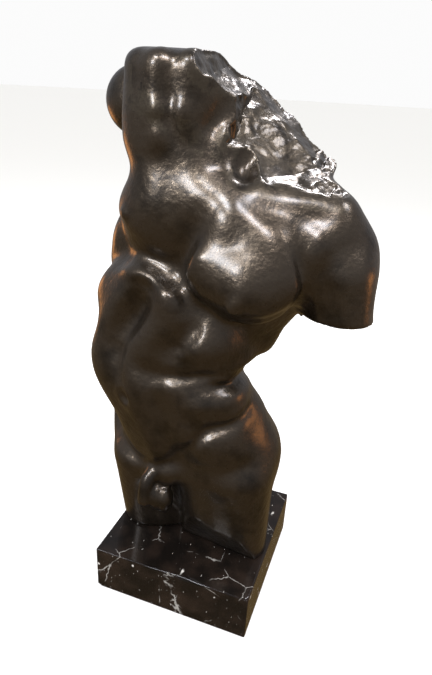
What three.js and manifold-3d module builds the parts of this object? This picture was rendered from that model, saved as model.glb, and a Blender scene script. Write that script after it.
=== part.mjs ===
// Partial male figure in cast bronze, about half life size, on a square block of polished marble.
// The bronze is modelled as a sculptor works: masses of clay joined smoothly, then creases pressed in and
// tendons raised, then straight cuts where the limbs end and a rough break where the neck was.
// Millimetres, Z up, X to the figure's left, -Y to its front, origin under the middle of the plinth.
import * as THREE from "three";
import { mergeVertices } from "three/addons/utils/BufferGeometryUtils.js";
import Module from "manifold-3d";

const wasm = await Module();
wasm.setup();

const plinth = { width: 160, depth: 158.5, height: 50, arris: 1.2 };
const restGap = 0.3;
const bottom = plinth.height + restGap;

// One life-size millimetre is this many real ones. The clay is shaped in life-size millimetres.
const scale = 0.56;

// The figure is shaped upright, front to -Y, with zero at the crotch, then bent between three frames:
// turn is degrees about Z, then Y (+ leans the top to the figure's left), then X (+ leans it forward).
const frames = {
  pelvis: { turn: [-24, -15, 2], at: [-16, 4, 138], pivot: [0, 0, 60] },
  chest: { turn: [-15, 24, -10], at: [-36, 15, 277], pivot: [0, 0, 300] },
  stand: { turn: [0, 0, 0], at: [0, 0, plinth.height], pivot: [0, 0, 0] },
};
// The spine bends from the pelvis frame to the chest frame between these heights.
const bend = { from: 150, to: 350 };

const limits = { low: [-145, -105, 30], high: [160, 130, 530] };
const cellSize = 4;
const torsoTriangles = 8800;
// Distances are only worked out this near to a mass; beyond it every point starts this far outside.
const reach = 25;
const farAway = 60;
// A stroke fades to nothing at this many of its widths.
const strokeFade = 2.4;
// A smooth line is drawn with this many straight pieces between two of its places.
const lineSteps = 5;
// The share of chest in the bend settles within this many passes.
const bendPasses = 4;
// Stands in for nothing where a length is divided by.
const tiny = 1e-6;

class Clay {
  constructor() {
    this.steps = limits.low.map((low, i) => Math.ceil((limits.high[i] - low) / cellSize) + 1);
    this.count = this.steps[0] * this.steps[1] * this.steps[2];
    this.distance = new Float32Array(this.count).fill(farAway);
    this.places = this.frameCoordinates();
  }

  gridPoint(index) {
    const [nx, ny] = this.steps;
    const cells = [index % nx, Math.floor(index / nx) % ny, Math.floor(index / (nx * ny))];
    return cells.map((k, i) => limits.low[i] + k * cellSize);
  }

  // Every grid point as it lies in each frame; body blends pelvis and chest along the spine.
  frameCoordinates() {
    const places = {};
    for (const name of ["pelvis", "chest", "stand", "body"]) places[name] = new Float32Array(this.count * 3);
    const inverse = {};
    for (const name of Object.keys(frames)) inverse[name] = matrixOf(frames[name]).invert();
    const point = new THREE.Vector3();
    for (let i = 0; i < this.count; i++) {
      const at = this.gridPoint(i);
      for (const name of Object.keys(frames)) {
        point.set(...at).applyMatrix4(inverse[name]).toArray(places[name], i * 3);
      }
      const pelvisZ = places.pelvis[i * 3 + 2];
      const chestZ = places.chest[i * 3 + 2];
      let share = THREE.MathUtils.smoothstep(pelvisZ, bend.from, bend.to);
      for (let pass = 0; pass < bendPasses; pass++) {
        share = THREE.MathUtils.smoothstep((1 - share) * pelvisZ + share * chestZ, bend.from, bend.to);
      }
      for (let k = 0; k < 3; k++) {
        places.body[i * 3 + k] = (1 - share) * places.pelvis[i * 3 + k] + share * places.chest[i * 3 + k];
      }
    }
    return places;
  }

  use(name) {
    this.place = this.places[name];
  }

  // Calls visit for each grid point within this margin of the box round these points.
  near(points, margin, visit) {
    const box = new THREE.Box3().setFromPoints(points).expandByScalar(margin);
    const point = new THREE.Vector3();
    for (let i = 0, k = 0; i < this.count; i++, k += 3) {
      const x = this.place[k];
      if (x < box.min.x || x > box.max.x) continue;
      const y = this.place[k + 1];
      if (y < box.min.y || y > box.max.y) continue;
      const z = this.place[k + 2];
      if (z < box.min.z || z > box.max.z) continue;
      visit(i, point.set(x, y, z));
    }
  }

  // Joins a shape to the clay at one grid point, softly where the two surfaces lie close.
  add(i, shape, blend) {
    const old = this.distance[i];
    const overlap = Math.max(blend - Math.abs(old - shape), 0) / blend;
    this.distance[i] = Math.min(old, shape) - (overlap * overlap * blend) / 4;
  }

  // An egg-shaped mass; spin turns it about Z, Y and X.
  lump(centre, radii, blend, spin = [0, 0, 0]) {
    const middle = new THREE.Vector3(...centre);
    const straighten = rotationOf(spin).transpose();
    this.near([middle], Math.max(...radii) + blend + reach, (i, point) => {
      const [x, y, z] = point.sub(middle).applyMatrix4(straighten).toArray();
      const share = Math.hypot(x / radii[0], y / radii[1], z / radii[2]);
      const slope = Math.hypot(x / radii[0] ** 2, y / radii[1] ** 2, z / radii[2] ** 2);
      this.add(i, (share * (share - 1)) / Math.max(slope, tiny), blend);
    });
  }

  // A round mass through points, with a thickness at each: a muscle, a limb or a cord.
  limb(places, thickness, blend) {
    const line = smoothLine(places, thickness);
    const points = line.map((step) => step.point);
    this.near(points, Math.max(...thickness) + blend + reach, (i, point) => {
      let best = Infinity;
      for (let k = 0; k + 1 < line.length; k++) {
        const { gap, along } = toSegment(point, line[k].point, line[k + 1].point);
        best = Math.min(best, gap - THREE.MathUtils.lerp(line[k].amount, line[k + 1].amount, along));
      }
      this.add(i, best, blend);
    });
  }

  // Moves the surface out (+) or in (-) along a line, with soft sides of this width.
  stroke(places, width, heights) {
    const line = smoothLine(places, heights);
    const points = line.map((step) => step.point);
    this.near(points, width * strokeFade, (i, point) => {
      let best = Infinity;
      let height = line[0].amount;
      for (let k = 0; k + 1 < line.length; k++) {
        const { gap, along } = toSegment(point, line[k].point, line[k + 1].point);
        if (gap >= best) continue;
        best = gap;
        height = THREE.MathUtils.lerp(line[k].amount, line[k + 1].amount, along);
      }
      if (line.length === 1) best = point.distanceTo(line[0].point);
      this.distance[i] -= height * Math.exp(-((best / width) ** 2));
    });
  }

  // Rounds everything off softly below this height.
  roundOff(height, softness) {
    for (let i = 0; i < this.count; i++) {
      const above = this.place[i * 3 + 2] - height;
      const overlap = Math.max(softness - Math.abs(this.distance[i] - above), 0) / softness;
      this.distance[i] = Math.max(this.distance[i], above) + (overlap * overlap * softness) / 4;
    }
  }
}

// Turns are given in degrees about Z, then Y, then X.
function rotationOf([aboutZ, aboutY, aboutX]) {
  const [z, y, x] = [aboutZ, aboutY, aboutX].map(THREE.MathUtils.degToRad);
  return new THREE.Matrix4().makeRotationFromEuler(new THREE.Euler(x, y, z, "ZYX"));
}

function matrixOf({ turn, at, pivot }) {
  return new THREE.Matrix4()
    .makeTranslation(...at)
    .multiply(rotationOf(turn))
    .multiply(new THREE.Matrix4().makeScale(scale, scale, scale))
    .multiply(new THREE.Matrix4().makeTranslation(...pivot.map((v) => -v)));
}

// A smooth line through the places, carrying a smoothly changing amount.
function smoothLine(places, amounts) {
  const points = places.map((place) => new THREE.Vector3(...place));
  if (points.length < 3) return points.map((point, k) => ({ point, amount: amounts[k] }));
  const curve = new THREE.CatmullRomCurve3(points, false, "catmullrom", 0.5);
  const steps = (points.length - 1) * lineSteps;
  return Array.from({ length: steps + 1 }, (_, k) => {
    const spot = (k / steps) * (points.length - 1);
    const first = Math.min(Math.floor(spot), points.length - 2);
    return {
      point: curve.getPoint(k / steps),
      amount: THREE.MathUtils.lerp(amounts[first], amounts[first + 1], spot - first),
    };
  });
}

// How far a point lies from a straight piece of line, and how far along that piece it is nearest.
const toPoint = new THREE.Vector3();
const segment = new THREE.Vector3();
function toSegment(point, start, end) {
  segment.subVectors(end, start);
  toPoint.subVectors(point, start);
  const along = THREE.MathUtils.clamp(toPoint.dot(segment) / Math.max(segment.lengthSq(), tiny), 0, 1);
  return { gap: toPoint.addScaledVector(segment, -along).length(), along };
}

function shapeTrunk(clay) {
  clay.use("body");
  clay.lump([-6, 8, 400], [146, 100, 180], 30);
  clay.lump([6, 6, 485], [146, 86, 96], 40);
  clay.lump([10, 2, 262], [112, 86, 116], 60);
  clay.lump([-4, 4, 170], [134, 90, 96], 50);
  clay.lump([-4, 14, 95], [138, 88, 90], 50);
  clay.lump([-136, 0, 388], [36, 62, 74], 40);
}

function shapeChest(clay) {
  clay.use("body");
  // left breast muscle, arm hanging
  clay.lump([80, -70, 470], [82, 42, 68], 28, [0, -12, 10]);
  clay.lump([86, -82, 440], [72, 40, 46], 28, [0, -10, 12]);
  clay.lump([46, -80, 448], [40, 36, 54], 22);
  clay.limb([[112, -64, 462], [164, -24, 508]], [42, 32], 38);
  clay.limb([[40, -72, 515], [140, -40, 540]], [30, 32], 30);
  // right breast muscle, drawn up into the raised arm
  clay.lump([-68, -72, 470], [70, 40, 76], 26, [0, 22, 8]);
  clay.lump([-88, -78, 438], [58, 34, 46], 30, [0, 16, 4]);
  clay.limb([[-84, -68, 480], [-142, -84, 570]], [46, 40], 34);
  clay.limb([[-30, -70, 520], [-110, -76, 590]], [26, 40], 34);
  // the breastbone joins them at the top
  clay.lump([2, -60, 512], [50, 40, 58], 44);
  // ribs and the muscle that wraps them under each arm
  clay.limb([[124, 40, 500], [112, 50, 340]], [42, 30], 34);
  clay.limb([[112, 50, 340], [72, 66, 220]], [30, 20], 34);
  clay.limb([[-124, 40, 500], [-90, 48, 340]], [42, 26], 34);
  clay.limb([[-90, 48, 340], [-62, 64, 220]], [26, 20], 34);
  clay.limb([[14, -72, 362], [86, -52, 328]], [34, 38], 38);
  clay.limb([[86, -52, 328], [112, -12, 306]], [38, 38], 38);
  clay.limb([[-24, -74, 352], [-80, -56, 312]], [32, 34], 30);
  clay.limb([[-76, -56, 312], [-80, -10, 290]], [32, 28], 30);
}

function shapeBelly(clay) {
  clay.use("body");
  for (const side of [1, -1]) {
    clay.limb([[36 * side - 6, -74, 352], [34 * side - 10, -72, 220]], [36, 34], 24);
    clay.limb([[34 * side - 10, -72, 220], [24 * side - 2, -74, 100]], [34, 20], 26);
  }
  clay.limb([[92, -40, 238], [116, -12, 214]], [38, 38], 34);
  clay.limb([[76, -54, 226], [82, -52, 136]], [34, 28], 34);
  clay.limb([[112, -24, 206], [124, -10, 168]], [32, 26], 34);
  clay.limb([[66, -64, 264], [120, -36, 284]], [28, 28], 30);
  // one full belly below the navel
  clay.lump([0, -52, 186], [60, 48, 94], 40);
  clay.lump([112, -8, 200], [34, 60, 40], 30);
  clay.lump([-90, -4, 190], [28, 52, 54], 34);
}

function shapeBack(clay) {
  clay.use("body");
  for (const side of [1, -1]) {
    clay.limb(
      [
        [34 * side, 74, 110], [36 * side, 72, 200], [38 * side, 76, 300], [36 * side, 84, 400],
        [30 * side, 78, 520],
      ],
      [26, 32, 28, 22, 18],
      26
    );
    clay.limb([[8 * side, 66, 480], [40 * side, 54, 570]], [30, 34], 30);
  }
  // shoulder blades, the right one turned up with its arm
  clay.lump([90, 72, 480], [58, 26, 74], 30, [0, 8, 0]);
  clay.lump([-96, 56, 506], [60, 30, 78], 30, [0, 34, 0]);
  clay.limb([[30, 84, 520], [90, 84, 545], [155, 44, 560]], [12, 14, 14], 24);
  clay.limb([[-30, 84, 530], [-76, 74, 580], [-120, 26, 622]], [14, 18, 24], 30);
  clay.stroke(
    [[0, 104, 130], [0, 104, 220], [0, 108, 330], [0, 110, 460], [0, 104, 550]],
    15,
    [-7, -9, -9, -8, -5]
  );
}

function shapeHips(clay) {
  clay.use("pelvis");
  for (const side of [1, -1]) {
    clay.lump([72 * side, 58, 62], [76, 66, 86], 18, [-12 * side, 0, 0]);
    clay.lump([106 * side, 6, 96], [46, 62, 76], 34);
    clay.lump([98 * side, 46, 128], [44, 38, 54], 26);
  }
  clay.lump([-132, 0, 90], [30, 50, 80], 40);
  clay.lump([0, -72, 56], [46, 26, 34], 22);
  clay.use("stand");
  clay.limb([[-106, 24, 130], [-84, 12, -30]], [72, 56], 30);
  clay.limb([[-114, -14, 130], [-98, -12, -30]], [46, 40], 30);
  clay.limb([[-62, 4, 90], [-58, 6, -30]], [44, 36], 26);
  clay.limb([[52, 10, 170], [68, 20, -30]], [80, 62], 30);
  clay.limb([[24, -34, 150], [28, -30, -30]], [46, 44], 26);
  clay.limb([[84, -32, 150], [94, -26, -30]], [46, 44], 26);
  clay.limb([[22, 0, 120], [30, 8, -30]], [42, 38], 26);
  clay.lump([-20, 10, 110], [46, 52, 72], 20);
}

function shapeRaisedArm(clay) {
  clay.use("stand");
  clay.limb([[-84, 22, 690], [-82, 16, 830]], [56, 54], 34);
  clay.limb([[-106, 0, 700], [-102, -2, 830]], [36, 36], 26);
  clay.limb([[-76, -26, 690], [-77, -28, 830]], [24, 25], 15);
  clay.limb([[-34, -22, 716], [-33, -20, 830]], [24, 27], 15);
  clay.lump([-146, 52, 738], [58, 44, 54], 6);
  clay.limb([[-30, 22, 680], [-60, 22, 830]], [52, 46], 34);
  clay.limb([[10, 34, 680], [-30, 34, 780]], [48, 46], 34);
}

function shapeHangingArm(clay) {
  clay.use("stand");
  clay.limb([[172, 20, 550], [206, 18, 430]], [56, 50], 26);
  clay.lump([192, 12, 540], [54, 54, 74], 22);
  clay.limb([[204, -14, 530], [212, -10, 430]], [40, 42], 18);
  clay.limb([[186, 54, 550], [204, 42, 430]], [40, 40], 18);
  clay.limb([[70, 42, 614], [148, 30, 622]], [44, 34], 30);
  // the slope between neck, collar bone and shoulder
  clay.use("chest");
  clay.limb([[44, -42, 566], [90, -32, 574], [136, -14, 590]], [24, 26, 26], 36);
}

function shapeNeck(clay) {
  clay.use("chest");
  clay.limb([[0, 14, 560], [-24, -4, 690]], [58, 60], 30);
  for (const side of [1, -1]) {
    clay.limb([[16 * side, -56, 556], [36 * side - 16, -24, 670]], [12, 20], 14);
  }
  clay.limb([[40, 46, 560], [50, 20, 660]], [40, 36], 26);
  clay.limb([[-40, 46, 560], [-70, 10, 660]], [40, 46], 30);
}

function shapeLoins(clay) {
  clay.use("stand");
  clay.limb([[-62, -76, 158], [-66, -91, 138], [-67, -98, 106]], [12, 13, 13], 6);
  clay.lump([-49, -84, 108], [14, 20, 27], 5);
  clay.lump([-35, -83, 105], [13, 19, 26], 5);
}

function pressCreases(clay) {
  clay.use("body");
  // between and under the breast muscles
  clay.stroke([[0, -112, 500], [4, -114, 466], [8, -108, 430], [10, -104, 404]], 17, [-2, -6, -9, -9]);
  clay.stroke(
    [
      [6, -106, 402], [30, -106, 398], [54, -104, 386], [84, -104, 388], [118, -108, 404],
      [146, -90, 424], [174, -64, 460],
    ],
    15,
    [-8, -9, -10, -10, -9, -8, -5]
  );
  clay.stroke(
    [[-4, -106, 404], [-36, -108, 400], [-70, -112, 396], [-106, -104, 398], [-134, -80, 410]],
    15,
    [-8, -9, -8, -5, -2]
  );
  clay.stroke([[118, -120, 424], [116, -118, 452]], 11, [9, 2]);
  clay.stroke([[33, -119, 452], [30, -112, 424]], 15, [4, 3]);
  clay.stroke([[-110, -112, 432]], 9, [7]);
  // the rib arch and the hollow below it
  clay.stroke(
    [[-90, -98, 340], [-61, -110, 361], [-30, -112, 377], [4, -114, 378], [30, -108, 368]],
    13,
    [2, 4, 5, 5, 3]
  );
  clay.stroke([[17, -116, 368], [36, -110, 322], [46, -102, 270]], 18, [5, 4, 2]);
  clay.stroke(
    [[-28, -108, 352], [-24, -104, 330], [-20, -102, 304], [-16, -100, 268]],
    20,
    [-9, -14, -12, -4]
  );
  clay.stroke([[-6, -107, 252], [8, -112, 222]], 13, [-4, -3]);
  clay.stroke([[60, -102, 370], [72, -100, 350], [74, -98, 316]], 16, [-9, -12, -6]);
  // pinched flank, groin and navel
  clay.stroke(
    [
      [36, -104, 250], [68, -96, 250], [104, -74, 260], [132, -50, 286], [146, -10, 300],
      [140, 30, 306],
    ],
    16,
    [-3, -7, -7, -6, -6, -4]
  );
  clay.stroke(
    [
      [150, 14, 158], [145, -22, 148], [120, -54, 142], [86, -72, 114], [54, -82, 86], [16, -94, 76],
      [-20, -96, 76], [-50, -90, 84], [-84, -84, 98], [-108, -72, 114], [-132, -20, 154],
    ],
    12,
    [-4, -6, -7, -8, -7, -4, -5, -7, -8, -8, -4]
  );
  clay.stroke([[60, -92, 226], [64, -94, 190], [50, -96, 150]], 18, [-1, -3, -2]);
  clay.stroke([[8, -115, 203]], 15, [6]);
  clay.stroke([[8, -116, 202]], 8, [-22]);
  // collar bones and pit of the neck
  clay.use("chest");
  clay.stroke([[16, -68, 548], [46, -74, 560], [88, -66, 578], [132, -30, 590]], 18, [2, 3, 2, 0]);
  clay.stroke([[-14, -70, 552], [-34, -80, 574], [-40, -78, 610]], 10, [7, 6, 3]);
  clay.stroke([[12, -70, 568], [2, -62, 594], [-16, -58, 624]], 15, [-10, -14, -10]);
  clay.stroke([[-60, -92, 600], [-50, -84, 634]], 14, [-5, -7]);
  // lower heads of the raised arm
  clay.use("stand");
  clay.stroke([[-71, -52, 734]], 13, [4]);
  clay.stroke([[-36, -48, 732]], 15, [4]);
  clay.stroke([[-66, -50, 700]], 15, [5]);
  clay.stroke([[-54, -46, 706], [-56, -46, 744]], 14, [-2, -2]);
  clay.stroke([[-128, 0, 810], [-130, 2, 740], [-128, 4, 690]], 13, [-4, -8, -5]);
  // left shoulder against the chest
  clay.stroke(
    [[140, -66, 600], [146, -64, 560], [150, -58, 520], [150, -50, 486]],
    14,
    [-3, -6, -9, -12]
  );
  clay.stroke([[176, -44, 560], [186, -52, 520], [190, -54, 470]], 14, [-3, -5, -3]);
  clay.stroke([[184, -30, 590]], 22, [5]);
  // hip muscles and the front of the left thigh
  clay.stroke([[68, -78, 246]], 30, [3]);
  clay.stroke([[68, -88, 160]], 26, [4]);
  clay.stroke([[96, -62, 200], [50, -84, 196]], 18, [-4, -3]);
  // the raised arm ends in a softly rounded top
  clay.roundOff(809, 28);
}

// No crossing lies nearer than this share of an edge to a grid point, so no triangle is a sliver.
const edgeShare = { least: 0.02, most: 0.98 };
// Merging two points turns no face further than this cosine, and pulls lightly to their middle.
const merging = { leastTurn: 0.3, pull: 1e-3 };
// Points nearer than this are one point.
const samePoint = 1e-4;

// Limbs run out of the grid to be cut later, so its outermost points are all made outside.
function closeEdges(clay) {
  const [nx, ny] = clay.steps;
  for (let i = 0; i < clay.count; i++) {
    const cells = [i % nx, Math.floor(i / nx) % ny, Math.floor(i / (nx * ny))];
    if (cells.some((k, axis) => k === 0 || k === clay.steps[axis] - 1)) clay.distance[i] = cellSize;
  }
}

// The surface where the distance is zero, one tetrahedron at a time, which always gives closed skin.
function skinOf(clay) {
  const [nx, ny, nz] = clay.steps;
  const corner = [0, 1, nx, nx + 1, nx * ny, nx * ny + 1, nx * ny + nx, nx * ny + nx + 1];
  const tetrahedra = [[0, 1, 3, 7], [0, 3, 2, 7], [0, 2, 6, 7], [0, 6, 4, 7], [0, 4, 5, 7], [0, 5, 1, 7]];
  const points = [];
  const triangles = [];
  const made = new Map();
  closeEdges(clay);

  const crossing = (a, b) => {
    const [low, high] = a < b ? [a, b] : [b, a];
    const key = low * clay.count + high;
    if (!made.has(key)) {
      const start = new THREE.Vector3(...clay.gridPoint(low));
      const end = new THREE.Vector3(...clay.gridPoint(high));
      const exact = clay.distance[low] / (clay.distance[low] - clay.distance[high]);
      const part = THREE.MathUtils.clamp(exact, edgeShare.least, edgeShare.most);
      made.set(key, points.push(start.lerp(end, part)) - 1);
    }
    return made.get(key);
  };

  const outward = new THREE.Vector3();
  const addTriangle = (a, b, c, within, without) => {
    outward.set(...clay.gridPoint(without)).sub(new THREE.Vector3(...clay.gridPoint(within)));
    const facing = normalOf(points[a], points[b], points[c]).dot(outward);
    triangles.push(facing > 0 ? [a, b, c] : [a, c, b]);
  };

  for (let z = 0; z + 1 < nz; z++) {
    for (let y = 0; y + 1 < ny; y++) {
      for (let x = 0; x + 1 < nx; x++) {
        const base = x + nx * (y + ny * z);
        const inside = corner.filter((step) => clay.distance[base + step] < 0).length;
        if (inside === 0 || inside === corner.length) continue;
        for (const tetrahedron of tetrahedra) {
          const ids = tetrahedron.map((k) => base + corner[k]);
          const within = ids.filter((id) => clay.distance[id] < 0);
          const without = ids.filter((id) => clay.distance[id] >= 0);
          if (within.length === 1 || without.length === 1) {
            const [tip, rest] = within.length === 1 ? [within[0], without] : [without[0], within];
            const [a, b, c] = rest.map((id) => crossing(tip, id));
            addTriangle(a, b, c, within[0], without[0]);
          } else if (within.length === 2) {
            const [a, b] = [crossing(within[0], without[0]), crossing(within[0], without[1])];
            const [c, d] = [crossing(within[1], without[1]), crossing(within[1], without[0])];
            addTriangle(a, b, c, within[0], without[0]);
            addTriangle(a, c, d, within[0], without[0]);
          }
        }
      }
    }
  }
  return { points, triangles };
}

const edgeOne = new THREE.Vector3();
const edgeTwo = new THREE.Vector3();
// Looks out of the triangle and is as long as twice its area.
function normalOf(a, b, c) {
  return edgeOne.subVectors(b, a).cross(edgeTwo.subVectors(c, a)).clone();
}

// Keeps the piece of skin that holds most triangles and drops crumbs.
function largestPiece({ points, triangles }) {
  const group = points.map((_, i) => i);
  const rootOf = (i) => {
    while (group[i] !== i) i = group[i] = group[group[i]];
    return i;
  };
  for (const [a, b, c] of triangles) {
    group[rootOf(a)] = rootOf(b);
    group[rootOf(b)] = rootOf(c);
  }
  const tally = new Map();
  for (const [a] of triangles) tally.set(rootOf(a), (tally.get(rootOf(a)) ?? 0) + 1);
  const largest = [...tally].sort((one, other) => other[1] - one[1])[0][0];
  return { points, triangles: triangles.filter(([a]) => rootOf(a) === largest) };
}

// Merges short flat edges first, by quadric error, until so many triangles are left.
function simplified({ points, triangles }, goal) {
  const faces = triangles.map((face) => [...face]);
  const touching = points.map(() => new Set());
  const quadrics = points.map(() => new Float64Array(10));
  const version = new Uint32Array(points.length);
  faces.forEach((face, f) => {
    const normal = normalOf(...face.map((v) => points[v]));
    const area = normal.length() || tiny;
    normal.divideScalar(area);
    const plane = [...normal.toArray(), -normal.dot(points[face[0]])];
    for (const v of face) {
      touching[v].add(f);
      let k = 0;
      for (let i = 0; i < 4; i++) {
        for (let j = i; j < 4; j++) quadrics[v][k++] += area * plane[i] * plane[j];
      }
    }
  });

  const neighbours = (v) => {
    const found = new Set();
    for (const f of touching[v]) for (const w of faces[f]) if (w !== v) found.add(w);
    return found;
  };

  const planned = (a, b) => {
    const q = quadrics[a].map((value, k) => value + quadrics[b][k]);
    const middle = points[a].clone().add(points[b]).multiplyScalar(0.5);
    const length = points[a].distanceToSquared(points[b]);
    // a light pull to the middle keeps the flat parts well shaped
    const pull = merging.pull * (q[0] + q[4] + q[7]);
    const system = new THREE.Matrix3().set(
      q[0] + pull, q[1], q[2], q[1], q[4] + pull, q[5], q[2], q[5], q[7] + pull);
    const side = new THREE.Vector3(-q[3], -q[6], -q[8]).addScaledVector(middle, pull);
    let spot = side.applyMatrix3(system.invert());
    if (!(spot.distanceToSquared(middle) < length)) spot = middle;
    const { x, y, z } = spot;
    const error = q[0] * x * x + 2 * q[1] * x * y + 2 * q[2] * x * z + 2 * q[3] * x + q[4] * y * y
      + 2 * q[5] * y * z + 2 * q[6] * y + q[7] * z * z + 2 * q[8] * z + q[9];
    return { a, b, spot, cost: Math.max(error, 0) + pull * length, versions: [version[a], version[b]] };
  };

  const heap = new Heap();
  for (let v = 0; v < points.length; v++) {
    for (const w of neighbours(v)) if (v < w) heap.push(planned(v, w));
  }

  let left = faces.length;
  while (left > goal && heap.size) {
    const { a, b, spot, versions } = heap.pop();
    if (version[a] !== versions[0] || version[b] !== versions[1]) continue;
    const shared = [...touching[a]].filter((f) => touching[b].has(f));
    const around = neighbours(b);
    const common = [...neighbours(a)].filter((v) => around.has(v));
    if (shared.length !== 2 || common.length !== 2) continue;
    const turned = [...touching[a], ...touching[b]].some((f) => {
      if (shared.includes(f)) return false;
      const before = normalOf(...faces[f].map((v) => points[v]));
      const after = normalOf(...faces[f].map((v) => (v === a || v === b ? spot : points[v])));
      return before.dot(after) < merging.leastTurn * before.length() * after.length();
    });
    if (turned) continue;
    points[a] = spot;
    quadrics[b].forEach((value, k) => { quadrics[a][k] += value; });
    for (const f of shared) {
      for (const v of faces[f]) touching[v].delete(f);
      faces[f] = null;
    }
    for (const f of touching[b]) {
      faces[f][faces[f].indexOf(b)] = a;
      touching[a].add(f);
    }
    touching[b].clear();
    version[a]++;
    version[b]++;
    left -= 2;
    for (const v of neighbours(a)) heap.push(planned(a, v));
  }
  return { points, triangles: faces.filter(Boolean) };
}

// Gives back the item of least cost first.
class Heap {
  items = [];

  get size() {
    return this.items.length;
  }

  push(item) {
    const { items } = this;
    let i = items.push(item) - 1;
    while (i > 0) {
      const parent = (i - 1) >> 1;
      if (items[parent].cost <= items[i].cost) break;
      [items[parent], items[i]] = [items[i], items[parent]];
      i = parent;
    }
  }

  pop() {
    const { items } = this;
    const top = items[0];
    const last = items.pop();
    if (!items.length) return top;
    items[0] = last;
    let i = 0;
    for (;;) {
      let least = i;
      for (const child of [2 * i + 1, 2 * i + 2]) {
        if (child < items.length && items[child].cost < items[least].cost) least = child;
      }
      if (least === i) return top;
      [items[least], items[i]] = [items[i], items[least]];
      i = least;
    }
  }
}

// A closed mesh as a body that can be joined and cut.
function solidOf(geometry) {
  geometry.deleteAttribute("normal");
  geometry.deleteAttribute("uv");
  const merged = mergeVertices(geometry, samePoint);
  const vertProperties = Float32Array.from(merged.attributes.position.array);
  const triVerts = Uint32Array.from(merged.index.array);
  return new wasm.Manifold(new wasm.Mesh({ numProp: 3, vertProperties, triVerts }));
}

function geometryOf(solid) {
  const { vertProperties, triVerts } = solid.getMesh();
  const geometry = new THREE.BufferGeometry();
  geometry.setAttribute("position", new THREE.BufferAttribute(vertProperties, 3));
  geometry.setIndex(new THREE.BufferAttribute(triVerts, 1));
  geometry.computeVertexNormals();
  return geometry;
}

// Only the points that are still used, numbered anew.
function skinGeometry({ points, triangles }) {
  const number = new Map();
  for (const v of triangles.flat()) if (!number.has(v)) number.set(v, number.size);
  const geometry = new THREE.BufferGeometry().setFromPoints([...number.keys()].map((v) => points[v]));
  geometry.setIndex(triangles.flat().map((v) => number.get(v)));
  return geometry;
}

// The order in which the masses are added and the creases pressed in.
const sculpting = [
  shapeTrunk, shapeChest, shapeBelly, shapeBack, shapeHips,
  shapeRaisedArm, shapeHangingArm, shapeNeck, shapeLoins, pressCreases,
];

const cutterSize = 400;

// A big block with its near face through this point; it takes away all that lies beyond.
function cutter({ at, facing }) {
  const block = new THREE.BoxGeometry(cutterSize, cutterSize, cutterSize);
  return solidOf(aimed(block.translate(0, 0, cutterSize / 2), at, facing));
}

// Turns a shape built along Z to look along facing, and puts its origin at this point.
function aimed(geometry, at, facing) {
  const up = new THREE.Vector3(0, 0, 1);
  const turn = new THREE.Quaternion().setFromUnitVectors(up, new THREE.Vector3(...facing).normalize());
  return geometry.applyQuaternion(turn).translate(...at);
}

// The break that the neck left has three faces: a steep one down from the raised arm, a hollowed one at
// the front behind the pit of the neck, and a low one where it runs out over the left shoulder. Each takes
// away what lies beyond all of its planes and within its box.
const neckBreak = {
  faces: [
    {
      planes: [[[-18, 10, 496], [0.606, -0.1, 0.78]], [[-16, 10, 501], [0.85, -0.05, 0.5]]],
      low: [-70, -150, 400],
      high: [87, 150, 600],
    },
    {
      planes: [[[40, -9, 422], [0.46, -0.5, 0.733]], [[40, -9, 420], [0.23, -0.32, 0.918]]],
      low: [13, -150, 395],
      high: [87.5, 150, 601],
    },
    { planes: [[[84, 33, 422.5], [0.35, -0.2, 0.91]]], low: [80, -150.5, 400], high: [200, 150.5, 602] },
  ],
  width: 240, height: 200, grain: 8,
  tooth: 1.6,
  // two crossed waves make the tooth; these are their turns per millimetre, in radians
  waves: { across: [0.9, 1.3], down: [0.7, -1.1] },
  hollow: { at: [54, 2, 432], reach: 21, depth: 6 },
};

// A block with an uneven underside that takes away what lies beyond this plane.
function roughCutter([at, facing], { width, height, grain, tooth, waves, hollow }) {
  const steps = Math.round(width / grain);
  const blank = new THREE.BoxGeometry(width, width, height, steps, steps, 1);
  const block = aimed(blank.translate(0, 0, height / 2), at, facing);
  const outward = new THREE.Vector3(...facing).normalize();
  const middle = new THREE.Vector3(...at);
  const centre = new THREE.Vector3(...hollow.at);
  const place = block.attributes.position;
  const point = new THREE.Vector3();
  for (let i = 0; i < place.count; i++) {
    point.fromBufferAttribute(place, i);
    if (point.clone().sub(middle).dot(outward) > height / 2) continue;
    const { x, y, z } = point;
    const across = Math.sin(x * waves.across[0] + y * waves.across[1]);
    const down = Math.cos(y * waves.down[0] + z * waves.down[1]);
    const roughness = across * down * tooth;
    const scoop = hollow.depth * Math.exp(-point.distanceToSquared(centre) / hollow.reach ** 2);
    point.addScaledVector(outward, roughness - scoop);
    place.setXYZ(i, ...point.toArray());
  }
  return solidOf(block);
}

function boxBetween(low, high) {
  const size = high.map((top, i) => top - low[i]);
  const middle = high.map((top, i) => (top + low[i]) / 2);
  return solidOf(new THREE.BoxGeometry(...size).translate(...middle));
}

function breakCutter({ planes, low, high }) {
  const whole = boxBetween(low, high);
  return planes.reduce((block, plane) => block.intersect(roughCutter(plane, neckBreak)), whole);
}

const underside = { at: [0, 0, bottom], facing: [0, 0, -1] };
// These two cut only their own limb, so each block has its own size.
const limbCuts = {
  hangingArm: { low: [82, -90, 230], high: [200, 90, 309], lean: [-6, 3] },
  leftThigh: { at: [20, -48, 100], facing: [-0.1, -0.9, -0.42], inner: 30, width: 130, height: 60 },
};

// The hanging arm is sawn off short, nearly level.
function armCutter({ low, high, lean }) {
  const size = high.map((top, i) => top - low[i]);
  const block = new THREE.BoxGeometry(...size).translate(0, 0, -size[2] / 2);
  block.rotateX(THREE.MathUtils.degToRad(lean[0])).rotateY(THREE.MathUtils.degToRad(lean[1]));
  return solidOf(block.translate((low[0] + high[0]) / 2, (low[1] + high[1]) / 2, high[2]));
}

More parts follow.
